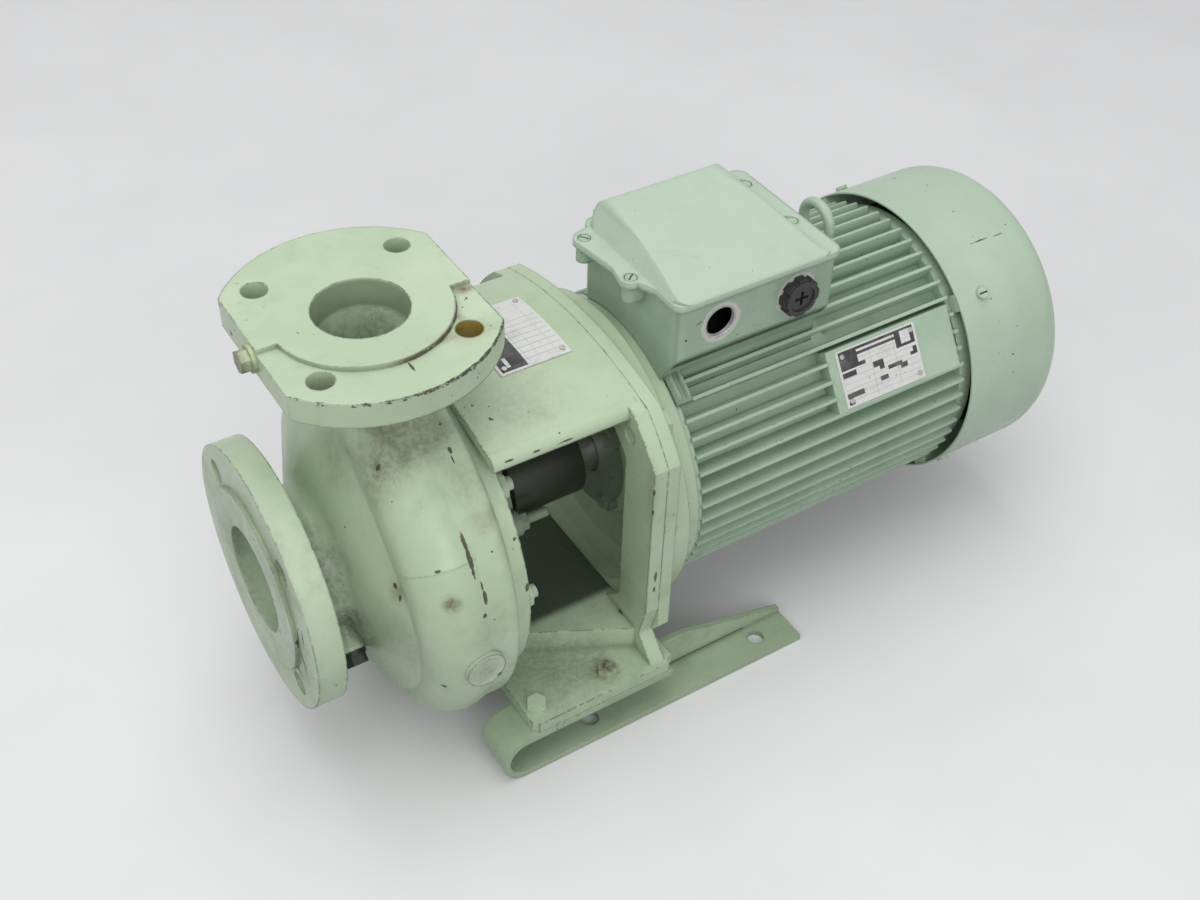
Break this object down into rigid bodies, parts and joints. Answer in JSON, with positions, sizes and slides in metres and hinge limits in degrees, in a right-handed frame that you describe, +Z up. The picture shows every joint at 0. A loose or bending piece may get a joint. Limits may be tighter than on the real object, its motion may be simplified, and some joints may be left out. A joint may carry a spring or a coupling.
{
  "type": "centrifugal pump",
  "caption": "Close-coupled end-suction centrifugal pump: volute casing with flanged ports, lantern, shaft seal, finned flanged motor, terminal box and folded base rails.",
  "frame": {"origin": "centre of the four anchor holes, on the base plane that the rails stand on", "axes": "+X along the shaft from the suction port towards the motor, +Z up through the discharge port, -Y the side that the cable entries face"},
  "size_m": [0.668, 0.289, 0.36],
  "materials": {
    "pump_paint": "semi-gloss enamel, sage green",
    "motor_paint": "semi-gloss enamel, deeper green",
    "cast_iron": "as cast",
    "steel": "zinc plated or ground",
    "dark_steel": "blackened",
    "brass": "plain",
    "copper": "varnished copper",
    "rubber": "matt black",
    "plate": "white coated",
    "plastic": "matt black",
    "aluminium": "cast"
  },
  "bodies": {
    "housing": {"volute_casing": "pump_paint", "wear_ring": "brass", "casing_gasket": "rubber", "casing_cover": "pump_paint", "casing_studs": "steel", "casing_nuts": "pump_paint", "seal_seat": "rubber", "gland_plate": "steel", "gland_studs": "steel", "gland_nuts": "steel", "lantern": "pump_paint", "foot_rail_near": "pump_paint", "foot_rail_far": "pump_paint", "foot_bolts": "pump_paint", "foot_nuts": "steel", "drive_end_shield": "motor_paint", "bearing_cover": "motor_paint", "bearing_cover_screws": "dark_steel", "motor_flange_bolts": "pump_paint", "motor_frame": "motor_paint", "stator_core": "dark_steel", "stator_winding": "copper", "drive_end_bearing_outer": "steel", "fan_end_bearing_outer": "steel", "fan_end_shield": "motor_paint", "cowl_screws": "dark_steel", "fan_cowl": "motor_paint", "terminal_box": "motor_paint", "lid_gasket": "rubber", "terminal_lid": "motor_paint", "lid_screws": "steel", "terminal_board": "plastic", "terminal_posts": "brass", "blanking_plug": "plastic", "lifting_eye": "motor_paint", "motor_nameplate": "plate", "pump_nameplate": "plate", "nameplate_rivets": "steel", "outlet_plug": "dark_steel", "gauge_plug": "plastic"},
    "rotor": {"impeller": "cast_iron", "impeller_nut": "steel", "impeller_key": "steel", "seal_rotating_ring": "steel", "stub_shaft": "dark_steel", "clamp_screws": "dark_steel", "motor_shaft": "steel", "rotor_core": "aluminium", "drive_end_bearing_inner": "steel", "fan_end_bearing_inner": "steel", "fan": "plastic"},
    "drive_end_balls": {"drive_end_bearing_balls": "steel"},
    "fan_end_balls": {"fan_end_bearing_balls": "steel"}
  },
  "joints": [
    {"name": "rotor_spin", "type": "hinge", "parent": "housing", "child": "rotor", "pos_m": [0.016, 0, 0.16], "axis": [1, 0, 0], "continuous": true},
    {"name": "drive_end_balls_spin", "type": "hinge", "parent": "housing", "child": "drive_end_balls", "pos_m": [0.009, 0, 0.16], "axis": [1, 0, 0], "continuous": true},
    {"name": "fan_end_balls_spin", "type": "hinge", "parent": "housing", "child": "fan_end_balls", "pos_m": [0.279, 0, 0.16], "axis": [1, 0, 0], "continuous": true}
  ],
  "couplings": [
    {"joint": "drive_end_balls_spin", "follows": "rotor_spin", "ratio": 0.41167},
    {"joint": "fan_end_balls_spin", "follows": "rotor_spin", "ratio": 0.41167}
  ]
}
